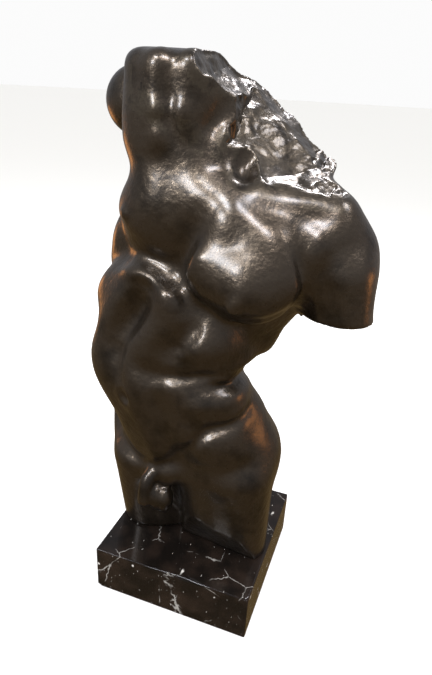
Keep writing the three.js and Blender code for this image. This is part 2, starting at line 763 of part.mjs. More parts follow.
// The left thigh is cut back on a slant at its front, so it meets the plinth only behind that cut.
function thighCutter({ at, facing, inner, width, height }) {
  const block = new THREE.BoxGeometry(width, width, height);
  return solidOf(aimed(block.translate(width / 2 - inner, 0, height / 2), at, facing));
}

function makeTorso() {
  const clay = new Clay();
  for (const shape of sculpting) shape(clay);
  let cast = solidOf(skinGeometry(simplified(largestPiece(skinOf(clay)), torsoTriangles)));
  cast = cast.subtract(cutter(underside));
  for (const face of neckBreak.faces) cast = cast.subtract(breakCutter(face));
  cast = cast.subtract(armCutter(limbCuts.hangingArm));
  cast = cast.subtract(thighCutter(limbCuts.leftThigh));
  const bronze = new THREE.MeshStandardMaterial({ color: 0x3a3226, roughness: 0.32, metalness: 1 });
  const torso = new THREE.Mesh(geometryOf(cast), bronze);
  torso.name = "torso";
  return torso;
}

// A square block with its arrises taken off at 45 degrees.
function makePlinth({ width, depth, height, arris }) {
  const outline = new THREE.Shape();
  const [x, y] = [width / 2 - arris, depth / 2 - arris];
  outline.moveTo(-x, -y).lineTo(x, -y).lineTo(x, y).lineTo(-x, y).closePath();
  const block = new THREE.ExtrudeGeometry(outline, {
    depth: height - 2 * arris,
    bevelEnabled: true,
    bevelSize: arris,
    bevelThickness: arris,
    bevelSegments: 1,
  }).translate(0, 0, arris);
  const marble = new THREE.MeshStandardMaterial({ color: 0x17181a, roughness: 0.12, metalness: 0 });
  const mesh = new THREE.Mesh(block, marble);
  mesh.name = "plinth";
  return mesh;
}

const group = new THREE.Group();
group.add(makePlinth(plinth), makeTorso());

export default group;
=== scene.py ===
# Bronze torso on a black marble plinth: a sculpted cast with a rough broken neck, and a polished block.
# The cast is modelled like clay: a distance field of smooth masses, pressed creases and straight cuts,
# which is then given a skin.
import math
import bmesh
import bpy
import numpy as np
from mathutils import Matrix, Vector


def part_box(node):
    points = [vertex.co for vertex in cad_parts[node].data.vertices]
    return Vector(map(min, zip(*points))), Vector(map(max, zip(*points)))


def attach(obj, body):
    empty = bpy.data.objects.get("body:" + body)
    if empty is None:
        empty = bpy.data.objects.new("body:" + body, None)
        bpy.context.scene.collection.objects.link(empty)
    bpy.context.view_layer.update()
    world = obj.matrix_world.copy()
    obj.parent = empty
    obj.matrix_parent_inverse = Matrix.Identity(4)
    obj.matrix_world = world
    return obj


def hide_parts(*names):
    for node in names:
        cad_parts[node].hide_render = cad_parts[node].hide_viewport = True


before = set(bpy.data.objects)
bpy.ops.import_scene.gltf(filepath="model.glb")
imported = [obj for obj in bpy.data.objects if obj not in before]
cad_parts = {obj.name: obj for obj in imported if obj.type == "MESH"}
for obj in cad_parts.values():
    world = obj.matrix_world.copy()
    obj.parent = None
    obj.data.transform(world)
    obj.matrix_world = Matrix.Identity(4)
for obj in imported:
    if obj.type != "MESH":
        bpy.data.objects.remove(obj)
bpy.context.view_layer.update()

mm = 0.001

torso = {
    "scale": 0.56,        # real millimetres in one life-size millimetre; the clay is shaped at life size
    "cell": 2.35,         # grid of the skin in mm: about 185,000 triangles with the finer break
    "coarse": 3,          # the field is first felt out on a grid this many times wider
    "restGap": 0.3,       # mm between the cast and the plinth
    "softEdge": 1.2,      # mm of rounding where a limb is cut
    "low": (-150, -110, 40), "high": (165, 135, 525),    # mm, the box that holds the whole cast
}
# Life-size mm. A mass is felt this far round it; every point starts this far outside; a stroke fades
# to nothing at this many of its widths.
clayReach, clayFar, strokeFade = 25, 60, 2.4
tiny = 1e-6

# Turn is degrees about Z, Y and X: + about Y leans the top to the figure's left, + about X leans it forward.
poses = {
    "pelvis": {"turn": (-24, -15, 2), "at": (-16, 4, 138), "pivot": (0, 0, 60)},
    "chest": {"turn": (-15, 24, -10), "at": (-36, 15, 277), "pivot": (0, 0, 300)},
    "stand": {"turn": (0, 0, 0), "at": (0, 0, 50), "pivot": (0, 0, 0)},
}
spineBend = (150, 350)    # life-size heights between which the spine bends from pelvis to chest
bendPasses = 5            # the share of chest in the bend settles within these


def rotation(turn):
    aboutZ, aboutY, aboutX = (math.radians(v) for v in turn)
    spin = Matrix.Rotation(aboutZ, 3, "Z") @ Matrix.Rotation(aboutY, 3, "Y") @ Matrix.Rotation(aboutX, 3, "X")
    return np.array(spin, np.float32)


def easeStep(t):
    t = np.clip(t, 0, 1)
    return t * t * (3 - 2 * t)


# the points as they lie in each pose's own upright frame; body follows the bent spine
def inFrames(points):
    places = {}
    for name, pose in poses.items():
        local = (points - np.array(pose["at"], np.float32)) @ rotation(pose["turn"])
        places[name] = local / torso["scale"] + np.array(pose["pivot"], np.float32)
    low, high = spineBend
    height = places["pelvis"][:, 2]
    for _ in range(bendPasses):
        share = easeStep((height - low) / (high - low))
        height = (1 - share) * places["pelvis"][:, 2] + share * places["chest"][:, 2]
    places["body"] = places["pelvis"] * (1 - share)[:, None] + places["chest"] * share[:, None]
    return places


def smoothMax(a, b, blend):
    overlap = np.maximum(blend - np.abs(a - b), 0) / blend
    return np.maximum(a, b) + overlap * overlap * blend / 4


class Clay:
    # A distance field in life-size mm at the given points, below zero inside the bronze.
    def __init__(self, points):
        self.places = inFrames(points)
        self.distance = np.full(len(points), clayFar, np.float32)
        self.place = self.places["body"]

    def use(self, name):
        self.place = self.places[name]

    def near(self, points, reach):
        low, high = np.min(points, 0) - reach, np.max(points, 0) + reach
        found = np.flatnonzero(np.all((self.place > low) & (self.place < high), 1))
        return found, self.place[found]

    def add(self, found, shape, blend):
        old = self.distance[found]
        overlap = np.maximum(blend - np.abs(old - shape), 0) / blend
        self.distance[found] = np.minimum(old, shape) - overlap * overlap * blend / 4

    # an egg-shaped mass
    def lump(self, centre, radii, blend, spin=(0, 0, 0)):
        centre, radii = np.array(centre, np.float32), np.array(radii, np.float32)
        found, place = self.near([centre], radii.max() + blend + clayReach)
        local = (place - centre) @ rotation(spin)
        share = np.linalg.norm(local / radii, axis=1)
        slope = np.linalg.norm(local / radii ** 2, axis=1)
        self.add(found, share * (share - 1) / np.maximum(slope, tiny), blend)

    # a round mass through points, with a thickness at each
    def limb(self, points, thickness, blend):
        line, radii = smoothLine(points, thickness)
        found, place = self.near(line, radii.max() + blend + clayReach)
        best = np.full(len(found), np.inf, np.float32)
        for k in range(len(line) - 1):
            gap, along = toSegment(place, line[k], line[k + 1])
            best = np.minimum(best, gap - (radii[k] + (radii[k + 1] - radii[k]) * along))
        self.add(found, best, blend)

    # moves the surface out (+) or in (-) along a line, with soft sides
    def stroke(self, points, width, heights):
        line, amounts = smoothLine(points, heights)
        found, place = self.near(line, width * strokeFade)
        best = np.full(len(found), np.inf, np.float32)
        height = np.zeros(len(found), np.float32)
        for k in range(max(len(line) - 1, 1)):
            end = min(k + 1, len(line) - 1)
            gap, along = toSegment(place, line[k], line[end])
            nearer = gap < best
            best[nearer] = gap[nearer]
            height[nearer] = (amounts[k] + (amounts[end] - amounts[k]) * along)[nearer]
        self.distance[found] -= height * np.exp(-((best / width) ** 2))

    # rounds everything off below this height
    def roundOff(self, height, softness):
        self.distance = smoothMax(self.distance, self.place[:, 2] - height, softness)


# how far each point lies from a straight piece of line, and how far along that piece it is nearest
def toSegment(place, start, end):
    span = end - start
    along = np.clip((place - start) @ span / max(float(span @ span), tiny), 0, 1)
    return np.linalg.norm(place - start - along[:, None] * span, axis=1), along


# a smooth curve through the points, carrying an amount that changes evenly between them
def smoothLine(points, amounts, steps=5):
    points, amounts = np.array(points, np.float32), np.array(amounts, np.float32)
    if len(points) < 3:
        return points, amounts
    ends = np.vstack([2 * points[0] - points[1], points, 2 * points[-1] - points[-2]])
    line = []
    for k in range(1, len(points)):
        before, start, end, after = ends[k - 1:k + 3]
        squared = 2 * before - 5 * start + 4 * end - after
        cubed = 3 * start - before - 3 * end + after
        for t in np.arange(steps) / steps:
            line.append(0.5 * (2 * start + (end - before) * t + squared * t ** 2 + cubed * t ** 3))
    line.append(points[-1])
    spots = np.linspace(0, len(points) - 1, len(line))
    return np.array(line, np.float32), np.interp(spots, np.arange(len(points)), amounts).astype(np.float32)


def shapeTrunk(clay):
    clay.use("body")
    clay.lump((-6, 8, 400), (146, 100, 180), 30)
    clay.lump((6, 6, 485), (146, 86, 96), 40)
    clay.lump((10, 2, 262), (112, 86, 116), 60)
    clay.lump((-4, 4, 170), (134, 90, 96), 50)
    clay.lump((-4, 14, 95), (138, 88, 90), 50)
    clay.lump((-136, 0, 388), (36, 62, 74), 40)


def shapeChest(clay):
    clay.use("body")
    # left breast muscle, arm hanging
    clay.lump((80, -70, 470), (82, 42, 68), 28, (0, -12, 10))
    clay.lump((86, -82, 440), (72, 40, 46), 28, (0, -10, 12))
    clay.lump((46, -80, 448), (40, 36, 54), 22)
    clay.limb([(112, -64, 462), (164, -24, 508)], [42, 32], 38)
    clay.limb([(40, -72, 515), (140, -40, 540)], [30, 32], 30)
    # right breast muscle, drawn up into the raised arm
    clay.lump((-68, -72, 470), (70, 40, 76), 26, (0, 22, 8))
    clay.lump((-88, -78, 438), (58, 34, 46), 30, (0, 16, 4))
    clay.limb([(-84, -68, 480), (-142, -84, 570)], [46, 40], 34)
    clay.limb([(-30, -70, 520), (-110, -76, 590)], [26, 40], 34)
    # the breastbone joins them at the top
    clay.lump((2, -60, 512), (50, 40, 58), 44)
    # ribs and the muscle that wraps them under each arm
    clay.limb([(124, 40, 500), (112, 50, 340)], [42, 30], 34)
    clay.limb([(112, 50, 340), (72, 66, 220)], [30, 20], 34)
    clay.limb([(-124, 40, 500), (-90, 48, 340)], [42, 26], 34)
    clay.limb([(-90, 48, 340), (-62, 64, 220)], [26, 20], 34)
    clay.limb([(14, -72, 362), (86, -52, 328)], [34, 38], 38)
    clay.limb([(86, -52, 328), (112, -12, 306)], [38, 38], 38)
    clay.limb([(-24, -74, 352), (-80, -56, 312)], [32, 34], 30)
    clay.limb([(-76, -56, 312), (-80, -10, 290)], [32, 28], 30)


def shapeBelly(clay):
    clay.use("body")
    for side in (1, -1):
        clay.limb([(side * 36 - 6, -74, 352), (side * 34 - 10, -72, 220)], [36, 34], 24)
        clay.limb([(side * 34 - 10, -72, 220), (side * 24 - 2, -74, 100)], [34, 20], 26)
    clay.limb([(92, -40, 238), (116, -12, 214)], [38, 38], 34)
    clay.limb([(76, -54, 226), (82, -52, 136)], [34, 28], 34)
    clay.limb([(112, -24, 206), (124, -10, 168)], [32, 26], 34)
    clay.limb([(66, -64, 264), (120, -36, 284)], [28, 28], 30)
    # one full belly below the navel
    clay.lump((0, -52, 186), (60, 48, 94), 40)
    clay.lump((112, -8, 200), (34, 60, 40), 30)
    clay.lump((-90, -4, 190), (28, 52, 54), 34)


def shapeBack(clay):
    clay.use("body")
    for side in (1, -1):
        clay.limb(
            [(side * 34, 74, 110), (side * 36, 72, 200), (side * 38, 76, 300), (side * 36, 84, 400),
             (side * 30, 78, 520)], [26, 32, 28, 22, 18], 26)
        clay.limb([(side * 8, 66, 480), (side * 40, 54, 570)], [30, 34], 30)
    # shoulder blades, the right one turned up with its arm
    clay.lump((90, 72, 480), (58, 26, 74), 30, (0, 8, 0))
    clay.lump((-96, 56, 506), (60, 30, 78), 30, (0, 34, 0))
    clay.limb([(30, 84, 520), (90, 84, 545), (155, 44, 560)], [12, 14, 14], 24)
    clay.limb([(-30, 84, 530), (-76, 74, 580), (-120, 26, 622)], [14, 18, 24], 30)
    clay.stroke(
        [(0, 104, 130), (0, 104, 220), (0, 108, 330), (0, 110, 460), (0, 104, 550)],
        15, [-7, -9, -9, -8, -5])


def shapeHips(clay):
    clay.use("pelvis")
    for side in (1, -1):
        clay.lump((side * 72, 58, 62), (76, 66, 86), 18, (side * -12, 0, 0))
        clay.lump((side * 106, 6, 96), (46, 62, 76), 34)
        clay.lump((side * 98, 46, 128), (44, 38, 54), 26)
    clay.lump((-132, 0, 90), (30, 50, 80), 40)
    clay.lump((0, -72, 56), (46, 26, 34), 22)
    clay.use("stand")
    clay.limb([(-106, 24, 130), (-84, 12, -30)], [72, 56], 30)
    clay.limb([(-114, -14, 130), (-98, -12, -30)], [46, 40], 30)
    clay.limb([(-62, 4, 90), (-58, 6, -30)], [44, 36], 26)
    clay.limb([(52, 10, 170), (68, 20, -30)], [80, 62], 30)
    clay.limb([(24, -34, 150), (28, -30, -30)], [46, 44], 26)
    clay.limb([(84, -32, 150), (94, -26, -30)], [46, 44], 26)
    clay.limb([(22, 0, 120), (30, 8, -30)], [42, 38], 26)
    clay.lump((-20, 10, 110), (46, 52, 72), 20)


def shapeRaisedArm(clay):
    clay.use("stand")
    clay.limb([(-84, 22, 690), (-82, 16, 830)], [56, 54], 34)
    clay.limb([(-106, 0, 700), (-102, -2, 830)], [36, 36], 26)
    clay.limb([(-76, -26, 690), (-77, -28, 830)], [24, 25], 15)
    clay.limb([(-34, -22, 716), (-33, -20, 830)], [24, 27], 15)
    clay.lump((-146, 52, 738), (58, 44, 54), 6)
    clay.limb([(-30, 22, 680), (-60, 22, 830)], [52, 46], 34)
    clay.limb([(10, 34, 680), (-30, 34, 780)], [48, 46], 34)


def shapeHangingArm(clay):
    clay.use("stand")
    clay.limb([(172, 20, 550), (206, 18, 430)], [56, 50], 26)
    clay.lump((192, 12, 540), (54, 54, 74), 22)
    clay.limb([(204, -14, 530), (212, -10, 430)], [40, 42], 18)
    clay.limb([(186, 54, 550), (204, 42, 430)], [40, 40], 18)
    clay.limb([(70, 42, 614), (148, 30, 622)], [44, 34], 30)
    # the slope between neck, collar bone and shoulder
    clay.use("chest")
    clay.limb([(44, -42, 566), (90, -32, 574), (136, -14, 590)], [24, 26, 26], 36)


def shapeNeck(clay):
    clay.use("chest")
    clay.limb([(0, 14, 560), (-24, -4, 690)], [58, 60], 30)
    for side in (1, -1):
        clay.limb([(side * 16, -56, 556), (side * 36 - 16, -24, 670)], [12, 20], 14)
    clay.limb([(40, 46, 560), (50, 20, 660)], [40, 36], 26)
    clay.limb([(-40, 46, 560), (-70, 10, 660)], [40, 46], 30)


def shapeLoins(clay):
    clay.use("stand")
    clay.limb([(-62, -76, 158), (-66, -91, 138), (-67, -98, 106)], [12, 13, 13], 6)
    clay.lump((-49, -84, 108), (14, 20, 27), 5)
    clay.lump((-35, -83, 105), (13, 19, 26), 5)


def pressCreases(clay):
    clay.use("body")
    # between and under the breast muscles
    clay.stroke([(0, -112, 500), (4, -114, 466), (8, -108, 430), (10, -104, 404)], 17, [-2, -6, -9, -9])
    clay.stroke(
        [(6, -106, 402), (30, -106, 398), (54, -104, 386), (84, -104, 388), (118, -108, 404),
         (146, -90, 424), (174, -64, 460)], 15, [-8, -9, -10, -10, -9, -8, -5])
    clay.stroke(
        [(-4, -106, 404), (-36, -108, 400), (-70, -112, 396), (-106, -104, 398), (-134, -80, 410)],
        15, [-8, -9, -8, -5, -2])
    clay.stroke([(118, -120, 424), (116, -118, 452)], 11, [9, 2])
    clay.stroke([(33, -119, 452), (30, -112, 424)], 15, [4, 3])
    clay.stroke([(-110, -112, 432)], 9, [7])
    # the rib arch and the hollow below it
    clay.stroke(
        [(-90, -98, 340), (-61, -110, 361), (-30, -112, 377), (4, -114, 378), (30, -108, 368)],
        13, [2, 4, 5, 5, 3])
    clay.stroke([(17, -116, 368), (36, -110, 322), (46, -102, 270)], 18, [5, 4, 2])
    clay.stroke(
        [(-28, -108, 352), (-24, -104, 330), (-20, -102, 304), (-16, -100, 268)], 20, [-9, -14, -12, -4])
    clay.stroke([(-6, -107, 252), (8, -112, 222)], 13, [-4, -3])
    clay.stroke([(60, -102, 370), (72, -100, 350), (74, -98, 316)], 16, [-9, -12, -6])
    # pinched flank, groin and navel
    clay.stroke(
        [(36, -104, 250), (68, -96, 250), (104, -74, 260), (132, -50, 286), (146, -10, 300),
         (140, 30, 306)], 16, [-3, -7, -7, -6, -6, -4])
    clay.stroke(
        [(150, 14, 158), (145, -22, 148), (120, -54, 142), (86, -72, 114), (54, -82, 86),
         (16, -94, 76), (-20, -96, 76), (-50, -90, 84), (-84, -84, 98), (-108, -72, 114),
         (-132, -20, 154)], 12, [-4, -6, -7, -8, -7, -4, -5, -7, -8, -8, -4])
    clay.stroke([(60, -92, 226), (64, -94, 190), (50, -96, 150)], 18, [-1, -3, -2])
    clay.stroke([(8, -115, 203)], 15, [6])
    clay.stroke([(8, -116, 202)], 8, [-22])
    # collar bones and pit of the neck
    clay.use("chest")
    clay.stroke([(16, -68, 548), (46, -74, 560), (88, -66, 578), (132, -30, 590)], 18, [2, 3, 2, 0])
    clay.stroke([(-14, -70, 552), (-34, -80, 574), (-40, -78, 610)], 10, [7, 6, 3])
    clay.stroke([(12, -70, 568), (2, -62, 594), (-16, -58, 624)], 15, [-10, -14, -10])
    clay.stroke([(-60, -92, 600), (-50, -84, 634)], 14, [-5, -7])
    # lower heads of the raised arm
    clay.use("stand")
    clay.stroke([(-71, -52, 734)], 13, [4])
    clay.stroke([(-36, -48, 732)], 15, [4])
    clay.stroke([(-66, -50, 700)], 15, [5])
    clay.stroke([(-54, -46, 706), (-56, -46, 744)], 14, [-2, -2])
    clay.stroke([(-128, 0, 810), (-130, 2, 740), (-128, 4, 690)], 13, [-4, -8, -5])
    # left shoulder against the chest
    clay.stroke(
        [(140, -66, 600), (146, -64, 560), (150, -58, 520), (150, -50, 486)], 14, [-3, -6, -9, -12])
    clay.stroke([(176, -44, 560), (186, -52, 520), (190, -54, 470)], 14, [-3, -5, -3])
    clay.stroke([(184, -30, 590)], 22, [5])
    # hip muscles and the front of the left thigh
    clay.stroke([(68, -78, 246)], 30, [3])
    clay.stroke([(68, -88, 160)], 26, [4])
    clay.stroke([(96, -62, 200), (50, -84, 196)], 18, [-4, -3])
    # the raised arm ends in a softly rounded top
    clay.roundOff(809, 28)


sculpting = [shapeTrunk, shapeChest, shapeBelly, shapeBack, shapeHips,
             shapeRaisedArm, shapeHangingArm, shapeNeck, shapeLoins, pressCreases]

# Straight cuts in real mm: what lies beyond the plane, within the box, is gone. They are the underside,
# the sawn end of the hanging arm, and the slanting cut of the left thigh.
cuts = [
    {"at": (0, 0, 50 + torso["restGap"]), "facing": (0, 0, -1),
     "low": (-200, -200, 0), "high": (200, 200, 60)},
    {"at": (118, 0, 309), "facing": (0.05, -0.1, -1),
     "low": (82, -90, 200), "high": (200, 90, 345)},
    {"at": (20, -48, 100), "facing": (-0.1, -0.9, -0.42),
     "low": (-9, -120, 20), "high": (140, 60, 125)},
]

# The break left by the neck: a steep face down from the raised arm, a scooped one at the front behind
# the pit of the neck, and a low one where it runs out over the left shoulder. Each takes away what lies
# beyond all of its planes and within its box, in real mm.
neckBreak = {
    "faces": [
        {"planes": [((-18, 10, 496), (0.606, -0.10, 0.78)), ((-16, 10, 501), (0.85, -0.05, 0.50))],
         "low": (-70, -150, 400), "high": (80, 150, 600)},
        {"planes": [((40, -9, 422), (0.46, -0.50, 0.733)), ((40, -9, 420), (0.23, -0.32, 0.918))],
         "low": (13, -150, 395), "high": (95, 150, 600)},
        {"planes": [((84, 33, 422.5), (0.35, -0.20, 0.91))],
         "low": (70, -150, 400), "high": (200, 150, 600)},
    ],
    "low": (-75, -150, 395), "high": (200, 150, 600), # the box that holds all the faces
    "lumps": ((16.0, 2.6), (6.0, 0.7), (2.2, 0.15)),  # size and height of the roughness, mm
    "hollow": {"at": (54, 2, 432), "reach": 21, "depth": 6.0, "calm": 0.85},   # calm: how much smoother it is
    "ridge": {"line": ((40, 26, 460), (56, 24, 450), (68, 20, 437), (76, 14, 426)),
              "width": 3.0, "height": 3.5},
    "rim": {"width": 1.8, "height": 1.3},             # the thin lip that was left round its outside
    "wobble": {"size": 6, "height": 2, "seed": 11},   # how far a face's sides wander from its box
    "softEdge": 0.5,
    "fine": 2,                                        # extra cuts in each skin square of the break
    # how the finish tells the break from the skin: within this box, near a face, and under the old skin
    "finish": {"low": (-72, -150, 398), "high": (110, 150, 600), "near": 7},
}


# smooth random values between -1 and 1 on a lattice, the same each run
def roughness(points, size, seed):
    spot = points / size
    base = np.floor(spot).astype(np.int64)
    part = easeStep(spot - base)
    total = np.zeros(len(points), np.float32)
    for corner in range(8):
        step = np.array([corner & 1, corner >> 1 & 1, corner >> 2 & 1])
        mixed = ((base + step) * (73856093, 19349663, 83492791)).sum(1) + seed * 2654435761
        mixed = (mixed ^ (mixed >> 13)) * 1274126177 & 0x7fffffff
        value = ((mixed ^ (mixed >> 16)) & 0xffff) / 32767.5 - 1
        total += value * np.prod(np.where(step == 1, part, 1 - part), 1)
    return total


# how far each point lies past a plane
def beyond(points, at, facing):
    facing = np.array(facing, np.float32) / np.linalg.norm(facing)
    return (points - np.array(at, np.float32)) @ facing.astype(np.float32)


# how far past every one of a break face's planes
def beyondFace(points, face):
    return np.min([beyond(points, at, facing) for at, facing in face["planes"]], 0)


# above zero outside the box, below zero inside it
def outsideBox(points, low, high):
    return np.maximum(np.array(low, np.float32) - points, points - np.array(high, np.float32)).max(1)


# how far the broken face stands above its planes
def breakHeight(points, skin):
    lumps = enumerate(neckBreak["lumps"])
    rough = sum(height * roughness(points, size, seed) for seed, (size, height) in lumps)
    hollow, ridge, rim = neckBreak["hollow"], neckBreak["ridge"], neckBreak["rim"]
    scooped = np.exp(-((points - np.array(hollow["at"])) ** 2).sum(1) / hollow["reach"] ** 2)
    gap = np.full(len(points), np.inf)
    line, _ = smoothLine(ridge["line"], [0] * len(ridge["line"]))
    for k in range(len(line) - 1):
        gap = np.minimum(gap, toSegment(points, line[k], line[k + 1])[0])
    crest = ridge["height"] * np.exp(-(gap / ridge["width"]) ** 2)
    lip = rim["height"] * np.exp(-(skin / rim["width"]) ** 2)
    return rough * (1 - hollow["calm"] * scooped) - hollow["depth"] * scooped + crest + lip


# signed distance to the figure while it was still whole, in mm
def wholeField(points):
    clay = Clay(points)
    for shape in sculpting:
        shape(clay)
    return clay.distance * torso["scale"]


# signed distance to the cast with its cuts and its break, in mm
def castField(points):
    points = points.astype(np.float32)
    solid = wholeField(points)
    for cut in cuts:
        outside = outsideBox(points, cut["low"], cut["high"])
        gone = np.maximum(-beyond(points, cut["at"], cut["facing"]), outside)
        solid = smoothMax(solid, -gone, torso["softEdge"])
    broken = np.flatnonzero(outsideBox(points, neckBreak["low"], neckBreak["high"]) < 0)
    if len(broken):
        near = points[broken]
        height = breakHeight(near, solid[broken])
        side = neckBreak["wobble"]
        wobble = side["height"] * roughness(near, side["size"], side["seed"])
        for face in neckBreak["faces"]:
            outside = outsideBox(near, face["low"], face["high"]) + wobble
            gone = np.maximum(height - beyondFace(near, face), outside)
            solid[broken] = smoothMax(solid[broken], -gone, neckBreak["softEdge"])
    return solid


# points on a grid, z fastest, and the grid's shape
def gridPoints(low, high, cell):
    axes = [np.arange(a, b, cell, dtype=np.float32) for a, b in zip(low, high)]
    grid = np.stack(np.meshgrid(*axes, indexing="ij"), -1)
    return grid.reshape(-1, 3), grid.shape[:3]


# the field on a fine grid, worked out in full only within about two wide cells of the surface
def feelSurface(low, high, cell, coarse, closeBy=1.9):
    wide = cell * coarse
    points, shape = gridPoints(low, high, wide)
    fine = castField(points).reshape(shape)
    for axis in range(3):
        fine = np.repeat(fine, coarse, axis)
    field = fine.ravel().copy()
    axes = [a + cell * np.arange(n * coarse) - cell * (coarse - 1) / 2 for a, n in zip(low, shape)]
    close = np.flatnonzero(np.abs(field) < wide * closeBy)
    index = np.unravel_index(close, fine.shape)
    field[close] = castField(np.stack([axis[i] for axis, i in zip(axes, index)], 1))
    return field.reshape(fine.shape), np.array([axis[0] for axis in axes])


# one vertex in each mixed cell, at the mean of its crossings, and a square across each crossed edge
def skinOf(field, low, cell):
    inside = field < 0
    corners = [(i, j, k) for i in (0, 1) for j in (0, 1) for k in (0, 1)]
    nx, ny, nz = (n - 1 for n in field.shape)
    count = sum(inside[i:nx + i, j:ny + j, k:nz + k].astype(np.int8) for i, j, k in corners)
    mixed = (count > 0) & (count < 8)
    cells = np.argwhere(mixed)
    number = np.full(mixed.shape, -1, np.int64)
    number[mixed] = np.arange(len(cells))
    total, hits = np.zeros((len(cells), 3)), np.zeros((len(cells), 1))
    for corner in corners:
        for axis in range(3):
            if corner[axis]:
                continue
            step = np.eye(3, dtype=int)[axis]
            start = field[tuple((cells + corner).T)]
            end = field[tuple((cells + corner + step).T)]
            crossed = ((start < 0) != (end < 0))[:, None]
            part = (start / np.where(start == end, 1, start - end))[:, None]
            total += crossed * (np.array(corner) + step * part)
            hits += crossed
    faces = []
    for axis in range(3):
        step, side, other = (np.eye(3, dtype=int)[(axis + k) % 3] for k in range(3))
        trimmed = inside[:nx if axis == 0 else None, :ny if axis == 1 else None, :nz if axis == 2 else None]
        moved = np.roll(inside, -1, axis)[:trimmed.shape[0], :trimmed.shape[1], :trimmed.shape[2]]
        edges = np.argwhere(trimmed != moved)
        around = ((0, 0), (1, 0), (1, 1), (0, 1))
        square = np.stack([number[tuple((edges - a * side - b * other).T)] for a, b in around], 1)
        leaving = trimmed[tuple(edges.T)]
        square[~leaving] = square[~leaving][:, ::-1]
        faces.append(square)
    return low + (cells + total / hits) * cell, np.vstack(faces)


# walks each point down the field's slope until it lies on the surface; feel and longest are in mm
def settle(points, passes=2, feel=0.35, longest=2, leastSlope=0.2):
    for _ in range(passes):
        value = castField(points)
        slope = np.stack([(castField(points + feel * axis) - value) / feel for axis in np.eye(3)], 1)
        step = value / np.maximum((slope ** 2).sum(1), leastSlope)
        points = points - step[:, None].clip(-longest, longest) * slope
    return points


# whether each point is on the break, deeper than this under the skin the neck had
def onBreak(points, depth):
    finish = neckBreak["finish"]
    inBox = outsideBox(points, finish["low"], finish["high"]) < 0
    away = np.min([np.abs(beyondFace(points, face)) for face in neckBreak["faces"]], 0)
    return inBox & (away < finish["near"]) & (wholeField(points.astype(np.float32)) < -depth)


def makeCast():
    field, corner = feelSurface(torso["low"], torso["high"], torso["cell"], torso["coarse"])
    points, squares = skinOf(field, corner, torso["cell"])
    points = settle(points)
    print("cast skin:", len(points), "points,", len(squares), "squares")
    mesh = bmesh.new()
    corners = [mesh.verts.new(p) for p in points]
    for square in squares:
        mesh.faces.new([corners[k] for k in square])
    dropCrumbs(mesh)
    centres = np.array([face.calc_center_median() for face in mesh.faces])
    chosen = onBreak(centres, neckBreak["softEdge"])
    edges = {edge for face, on in zip(mesh.faces, chosen) if on for edge in face.edges}
    old = len(mesh.verts)
    bmesh.ops.subdivide_edges(mesh, edges=list(edges), cuts=neckBreak["fine"], use_grid_fill=True)
    mesh.verts.ensure_lookup_table()
    added = mesh.verts[old:]
    for vertex, place in zip(added, settle(np.array([v.co for v in added]), passes=3)):
        vertex.co = place
    print("break refined:", len(added), "new points")
    bmesh.ops.scale(mesh, vec=(mm, mm, mm), verts=mesh.verts)
    for face in mesh.faces:
        face.smooth = True
    skin = patinatedBronze("patinated bronze", bronzeLook)
    piece = finishPiece(mesh, "torsoCast", "torso", skin)
    piece.data.materials.append(patinatedBronze("broken bronze", brokenLook))
    middles = np.zeros(len(piece.data.polygons) * 3, np.float32)
    piece.data.polygons.foreach_get("center", middles)
    broken = onBreak(middles.reshape(-1, 3) / mm, 0.0).astype(np.int32)
    piece.data.polygons.foreach_set("material_index", broken)


# keeps the largest connected skin
def dropCrumbs(mesh):
    unseen, islands = set(mesh.verts), []
    while unseen:
        island, edge = set(), [unseen.pop()]
        while edge:
            vertex = edge.pop()
            island.add(vertex)
            for link in vertex.link_edges:
                other = link.other_vert(vertex)
                if other in unseen:
                    unseen.remove(other)
                    edge.append(other)
        islands.append(island)
    for island in sorted(islands, key=len)[:-1]:
        bmesh.ops.delete(mesh, geom=list(island), context="VERTS")


# turns a finished mesh into a piece that rides with the part and stands for one of its nodes
def finishPiece(mesh, name, node, material):
    data = bpy.data.meshes.new(name)
    mesh.to_mesh(data)
    mesh.free()
    data.materials.append(material)
    piece = bpy.data.objects.new(name, data)
    bpy.context.collection.objects.link(piece)
    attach(piece, "root")
    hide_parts(node)
    return piece


plinth = {
    "arris": 1.1,                                    # mm rounded off each edge
    "stops": (0, 0.35, 0.8, 1.4, 2.2, 3.2, 4.6, 6.5), # mesh lines in from each edge, mm
    "middle": 14,                                    # widest gap between lines on a flat face, mm
    "chips": 34, "chipSize": (1.0, 3.4), "seed": 7,  # how many bites, and their least and most size, mm
    "chipRaggedness": 0.4, "chipGrain": 1.6, "chipDepth": 0.7,
}


# where the mesh lines lie along one side: close at the edges, evenly spread between
def stopsAlong(length):
    edge = [s for s in plinth["stops"] if s < length / 2 - 2]
    inner = length - 2 * edge[-1]
    count = max(2, round(inner / plinth["middle"]))
    middle = [edge[-1] + inner * k / count for k in range(1, count)]
    return edge + middle + [length - s for s in reversed(edge)]


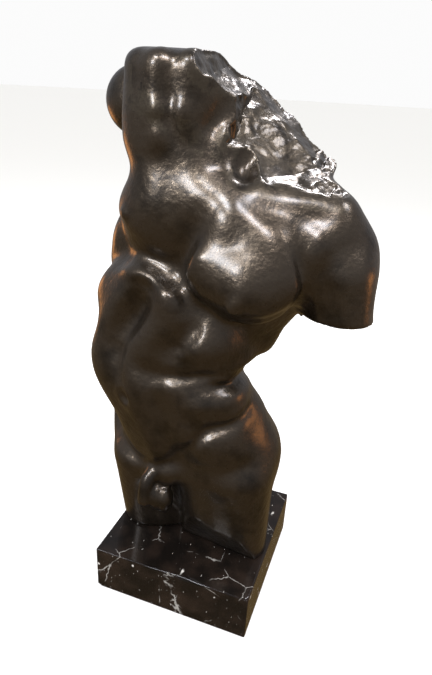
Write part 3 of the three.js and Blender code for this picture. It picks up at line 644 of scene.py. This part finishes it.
def makePlinth():
    low, high = (np.array(corner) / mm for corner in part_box("plinth"))
    size = high - low
    lines = [np.array(stopsAlong(length)) for length in size]
    mesh = bmesh.new()
    corners = {}

    def corner(index):
        if index not in corners:
            corners[index] = mesh.verts.new([low[a] + lines[a][index[a]] for a in range(3)])
        return corners[index]

    for axis in range(3):
        side, other = (axis + 1) % 3, (axis + 2) % 3
        for far in (0, len(lines[axis]) - 1):
            for i in range(len(lines[side]) - 1):
                for j in range(len(lines[other]) - 1):
                    face = []
                    for a, b in ((0, 0), (1, 0), (1, 1), (0, 1)):
                        index = [0, 0, 0]
                        index[axis], index[side], index[other] = far, i + a, j + b
                        face.append(corner(tuple(index)))
                    mesh.faces.new(face if far else face[::-1])
    points = np.array([v.co for v in mesh.verts])
    for vertex, place in zip(mesh.verts, chipped(rounded(points, low, high), low, high)):
        vertex.co = place * mm
    for face in mesh.faces:
        face.smooth = True
    print("plinth:", len(mesh.faces), "faces")
    finishPiece(mesh, "plinthBlock", "plinth", polishedMarble())


# rounds the arrises of a block
def rounded(points, low, high):
    arris = plinth["arris"]
    core = np.clip(points, low + arris, high - arris)
    out = points - core
    length = np.linalg.norm(out, axis=1)[:, None]
    return np.where(length > 0, core + out / np.maximum(length, tiny) * arris, points)


# small bites out of the edges, mostly along the top and the foot
def chipped(points, low, high):
    random = np.random.default_rng(plinth["seed"])
    middle = (low + high) / 2
    for _ in range(plinth["chips"]):
        along = random.integers(3)
        spot = np.where(random.random(3) < 0.5, low, high)
        spot[along] = low[along] + random.random() * (high[along] - low[along])
        size = random.uniform(*plinth["chipSize"])
        away = points - spot
        ragged = plinth["chipRaggedness"] * size * roughness(points, plinth["chipGrain"], 5)
        near = np.linalg.norm(away, axis=1) + ragged
        depth = np.clip(size - near, 0, None) * plinth["chipDepth"]
        inward = middle - spot
        inward[along] = 0
        inward /= np.linalg.norm(inward)
        points = points + depth[:, None] * inward
    return points


# an sRGB hex colour as the linear colour a shader wants
def linear(hexColour):
    parts = [int(hexColour[k:k + 2], 16) / 255 for k in (1, 3, 5)]
    return [c / 12.92 if c < 0.04045 else ((c + 0.055) / 1.055) ** 2.4 for c in parts] + [1]


# adds a node: inputs are set or linked by name, the rest are its own settings
def addNode(material, kind, inputs=None, **settings):
    tree = material.node_tree
    node = tree.nodes.new(kind)
    for name, value in settings.items():
        setattr(node, name, value)
    for name, value in (inputs or {}).items():
        if isinstance(value, bpy.types.NodeSocket):
            tree.links.new(value, node.inputs[name])
        else:
            node.inputs[name].default_value = value
    return node


def blankMaterial(name):
    material = bpy.data.materials.new(name)
    material.use_nodes = True
    material.node_tree.nodes.clear()
    return material


# turns a value into a colour or a grey, by stops along it
def ramp(material, source, stops):
    node = addNode(material, "ShaderNodeValToRGB", {"Fac": source})
    elements = node.color_ramp.elements
    while len(elements) < len(stops):
        elements.new(0.5)
    for element, (place, colour) in zip(elements, stops):
        element.position = place
        element.color = linear(colour) if isinstance(colour, str) else (colour, colour, colour, 1)
    return node.outputs["Color"]


# Cast bronze under a dark brown chemical patina and wax: the metal shows through in the highlights,
# and brush marks in the wax break them up.
bronzeLook = {
    "patina": "#4a4034", "deepPatina": "#2a231a", "worn": "#75664f",
    "cloud": 38, "grain": 1.6, "ripple": 5.5,         # sizes in mm
    "metallic": 0.9, "roughness": (0.26, 0.40), "wax": 0.6, "waxRoughness": 0.22,
    "grainHeight": 0.03, "rippleHeight": 0.32,        # mm
}
# The torn face was left as it broke and then rubbed: a little brighter, with smaller clouds and ripples.
brokenLook = {**bronzeLook, "patina": "#4d4437", "worn": "#857660", "cloud": 12, "ripple": 4.0,
              "roughness": (0.28, 0.42), "grainHeight": 0.02, "rippleHeight": 0.2}


def patinatedBronze(name, look):
    material = blankMaterial(name)
    place = addNode(material, "ShaderNodeTexCoord").outputs["Object"]
    cloud = addNode(material, "ShaderNodeTexNoise", {
        "Vector": place, "Scale": 1 / (look["cloud"] * mm), "Detail": 4, "Roughness": 0.6}).outputs["Fac"]
    grain = addNode(material, "ShaderNodeTexNoise", {
        "Vector": place, "Scale": 1 / (look["grain"] * mm), "Detail": 3, "Roughness": 0.55,
        "Distortion": 0.8}).outputs["Fac"]
    ripple = addNode(material, "ShaderNodeTexNoise", {
        "Vector": place, "Scale": 1 / (look["ripple"] * mm), "Detail": 2, "Roughness": 0.5}).outputs["Fac"]
    colour = ramp(material, cloud, [(0.32, look["deepPatina"]), (0.52, look["patina"])])
    raised = addNode(material, "ShaderNodeNewGeometry").outputs["Pointiness"]
    wear = ramp(material, raised, [(0.54, 0.0), (0.66, 0.8)])
    mixed = addNode(material, "ShaderNodeMix", {
        "Factor": wear, "A": colour, "B": linear(look["worn"])}, data_type="RGBA")
    smooth, dull = look["roughness"]
    gloss = ramp(material, grain, [(0.3, smooth), (0.72, dull)])
    # the noise uses about a quarter of its range, so each height is stretched by four
    bumpGrain = addNode(material, "ShaderNodeBump", {
        "Height": grain, "Distance": look["grainHeight"] * mm * 4, "Strength": 0.6})
    bump = addNode(material, "ShaderNodeBump", {
        "Height": ripple, "Distance": look["rippleHeight"] * mm * 4, "Strength": 0.5,
        "Normal": bumpGrain.outputs["Normal"]})
    shader = addNode(material, "ShaderNodeBsdfPrincipled", {
        "Base Color": mixed.outputs["Result"], "Metallic": look["metallic"], "Roughness": gloss,
        "Coat Weight": look["wax"], "Coat Roughness": look["waxRoughness"], "Normal": bump.outputs["Normal"]})
    addNode(material, "ShaderNodeOutputMaterial", {"Surface": shader.outputs["BSDF"]})
    return material


# Black limestone sold as marble, ground and polished: a deep near-black body with white shell
# fragments and hairline calcite veins, under a mirror gloss.
marbleLook = {
    "body": "#100d0b", "cloudy": "#241c17", "white": "#c9c5bd",
    "fragment": 11, "speck": 2.4, "vein": 60, "cloud": 22,   # sizes in mm
    "stretch": (1.0, 0.34, 0.8), "lie": (0.3, 0.5, 0.7),     # how the fragments are drawn out and turned
    "bend": 0.004,                                           # how far the veins are pulled about
    "roughness": 0.1, "gloss": 0.35,
}


def polishedMarble():
    look = marbleLook
    material = blankMaterial("polished black marble")
    place = addNode(material, "ShaderNodeTexCoord").outputs["Object"]
    warp = addNode(material, "ShaderNodeTexNoise", {
        "Vector": place, "Scale": 1 / (look["speck"] * 2 * mm), "Detail": 3}).outputs["Color"]
    bent = addNode(material, "ShaderNodeMix", {
        "Factor": look["bend"], "A": place, "B": warp}, data_type="VECTOR").outputs["Result"]
    cloud = addNode(material, "ShaderNodeTexNoise", {
        "Vector": place, "Scale": 1 / (look["cloud"] * mm), "Detail": 3}).outputs["Fac"]
    body = ramp(material, cloud, [(0.4, look["body"]), (0.75, look["cloudy"])])
    whites = []
    # each kind of spot: its size, where its core ends and its edge fades out, and the share of cells without
    for size, low, high, share in ((look["fragment"], 0.06, 0.13, 0.72), (look["speck"], 0.08, 0.16, 0.8)):
        turned = addNode(material, "ShaderNodeMapping", {
            "Vector": bent, "Rotation": look["lie"], "Scale": look["stretch"]}).outputs["Vector"]
        cell = addNode(material, "ShaderNodeTexVoronoi", {
            "Vector": turned, "Scale": 1 / (size * mm), "Randomness": 1.0})
        spot = ramp(material, cell.outputs["Distance"], [(low, 0.9), (high, 0.0)])
        pick = addNode(material, "ShaderNodeSeparateColor", {"Color": cell.outputs["Color"]}).outputs["Red"]
        chosen = ramp(material, pick, [(share, 0.0), (share + 0.04, 1.0)])
        spots = addNode(material, "ShaderNodeMath", {0: spot, 1: chosen}, operation="MULTIPLY")
        whites.append(spots.outputs[0])
    vein = addNode(material, "ShaderNodeTexVoronoi", {
        "Vector": bent, "Scale": 1 / (look["vein"] * mm)}, feature="DISTANCE_TO_EDGE").outputs["Distance"]
    line = ramp(material, vein, [(0.002, 1.0), (0.007, 0.0)])
    fade = ramp(material, cloud, [(0.5, 0.0), (0.62, 0.45)])
    veins = addNode(material, "ShaderNodeMath", {0: line, 1: fade}, operation="MULTIPLY")
    whites.append(veins.outputs[0])
    white = whites[0]
    for other in whites[1:]:
        white = addNode(material, "ShaderNodeMath", {0: white, 1: other}, operation="MAXIMUM").outputs[0]
    colour = addNode(material, "ShaderNodeMix", {
        "Factor": white, "A": body, "B": linear(look["white"])}, data_type="RGBA").outputs["Result"]
    shader = addNode(material, "ShaderNodeBsdfPrincipled", {
        "Base Color": colour, "Roughness": look["roughness"], "Specular IOR Level": look["gloss"]})
    addNode(material, "ShaderNodeOutputMaterial", {"Surface": shader.outputs["BSDF"]})
    return material


studio = {
    "floor": "#f4f3f0", "floorRadius": 30.0,
    "roomSeen": 0.97, "roomLight": 1.08,              # how bright the walls look and light
    "roomMirrored": (0.40, 0.38),                     # what gloss reflects of the room, low down and overhead
    "lowTint": "#ad8f60", "highTint": "#f4f6ff",      # wood and dark cloth below, white ceiling above
    "lampAim": (0, 0, 0.28),
    "lamps": (
        # name, place in m, size in m, watts, colour
        ("windowLow", (-0.62, -0.98, 0.92), 0.26, 7.0, "#f2f6ff"),
        ("windowHigh", (-0.36, -0.78, 1.28), 0.22, 7.5, "#f2f6ff"),
        ("lampTop", (0.22, -0.66, 1.42), 0.20, 6.5, "#f6f6ff"),
        ("lampRight", (0.80, -0.05, 1.40), 0.40, 7.0, "#f6f6ff"),
        ("lampBack", (0.10, 0.75, 1.30), 0.24, 8.0, "#f6f6ff"),
        ("warmRight", (0.95, 0.35, 0.25), 0.30, 1.0, "#d08a4a"),
        ("warmLeft", (-0.85, 0.30, 0.20), 0.30, 0.7, "#d08a4a"),
    ),
}


def paleFloor():
    mesh = bmesh.new()
    bmesh.ops.create_circle(mesh, cap_ends=True, segments=64, radius=studio["floorRadius"])
    data = bpy.data.meshes.new("paleFloor")
    mesh.to_mesh(data)
    mesh.free()
    material = blankMaterial("pale matt floor")
    place = addNode(material, "ShaderNodeTexCoord").outputs["Object"]
    tooth = addNode(material, "ShaderNodeTexNoise", {"Vector": place, "Scale": 400}).outputs["Fac"]
    bump = addNode(material, "ShaderNodeBump", {"Height": tooth, "Strength": 0.05, "Distance": 0.0005})
    shader = addNode(material, "ShaderNodeBsdfPrincipled", {
        "Base Color": linear(studio["floor"]), "Roughness": 0.8, "Normal": bump.outputs["Normal"]})
    addNode(material, "ShaderNodeOutputMaterial", {"Surface": shader.outputs["BSDF"]})
    data.materials.append(material)
    floor = bpy.data.objects.new("paleFloor", data)
    bpy.context.collection.objects.link(floor)
    floor.visible_glossy = False                      # the bronze mirrors a dim room, as over a dark table


def lightStudio():
    world = bpy.data.worlds.new("paleRoom")
    world.use_nodes = True
    bpy.context.scene.world = world
    tree = world.node_tree
    tree.nodes.clear()
    rays = addNode(world, "ShaderNodeLightPath").outputs
    facing = addNode(world, "ShaderNodeTexCoord").outputs["Generated"]
    height = addNode(world, "ShaderNodeSeparateXYZ", {"Vector": facing}).outputs["Z"]
    low, high = studio["roomMirrored"]
    mirrored = addNode(world, "ShaderNodeMapRange", {
        "Value": height, "From Min": -0.6, "From Max": 0.9, "To Min": low, "To Max": high}).outputs["Result"]
    lit = addNode(world, "ShaderNodeMix", {
        "Factor": rays["Is Glossy Ray"], "A": studio["roomLight"], "B": mirrored},
        data_type="FLOAT").outputs["Result"]
    strength = addNode(world, "ShaderNodeMix", {
        "Factor": rays["Is Camera Ray"], "A": lit, "B": studio["roomSeen"]},
        data_type="FLOAT").outputs["Result"]
    rise = addNode(world, "ShaderNodeMapRange", {
        "Value": height, "From Min": -0.5, "From Max": 0.3}).outputs["Result"]
    tint = addNode(world, "ShaderNodeMix", {
        "Factor": rise, "A": linear(studio["lowTint"]), "B": linear(studio["highTint"])},
        data_type="RGBA").outputs["Result"]
    colour = addNode(world, "ShaderNodeMix", {
        "Factor": rays["Is Glossy Ray"], "A": (1, 1, 1, 1), "B": tint},
        data_type="RGBA").outputs["Result"]
    sky = addNode(world, "ShaderNodeBackground", {"Color": colour, "Strength": strength})
    addNode(world, "ShaderNodeOutputWorld", {"Surface": sky.outputs["Background"]})
    aim = Vector(studio["lampAim"])
    for name, place, size, watts, colour in studio["lamps"]:
        data = bpy.data.lights.new(name, "AREA")
        data.shape = "DISK"
        data.size, data.energy, data.color = size, watts, linear(colour)[:3]
        lamp = bpy.data.objects.new(name, data)
        bpy.context.collection.objects.link(lamp)
        turn = (aim - Vector(place)).to_track_quat("-Z", "Y")
        lamp.matrix_world = Matrix.LocRotScale(Vector(place), turn, None)


view = {
    "place": (0.1536, -0.4307, 0.4788), "aim": (0.028, -0.0609, 0.2991),   # m
    "roll": 3.3,                                                          # degrees
    "lens": 29.17, "sensor": 36,                                          # mm
}


def addCamera():
    data = bpy.data.cameras.new("camera")
    data.sensor_width, data.lens, data.clip_start = view["sensor"], view["lens"], 0.02
    camera = bpy.data.objects.new("camera", data)
    bpy.context.collection.objects.link(camera)
    place = Vector(view["place"])
    look = (Vector(view["aim"]) - place).to_track_quat("-Z", "Y").to_matrix()
    roll = Matrix.Rotation(math.radians(view["roll"]), 3, "Z")
    camera.matrix_world = Matrix.Translation(place) @ (look @ roll).to_4x4()
    bpy.context.scene.camera = camera


addCamera()
lightStudio()
paleFloor()
print("studio ready")
makeCast()
makePlinth()
bpy.context.scene.view_settings.view_transform = "Standard"
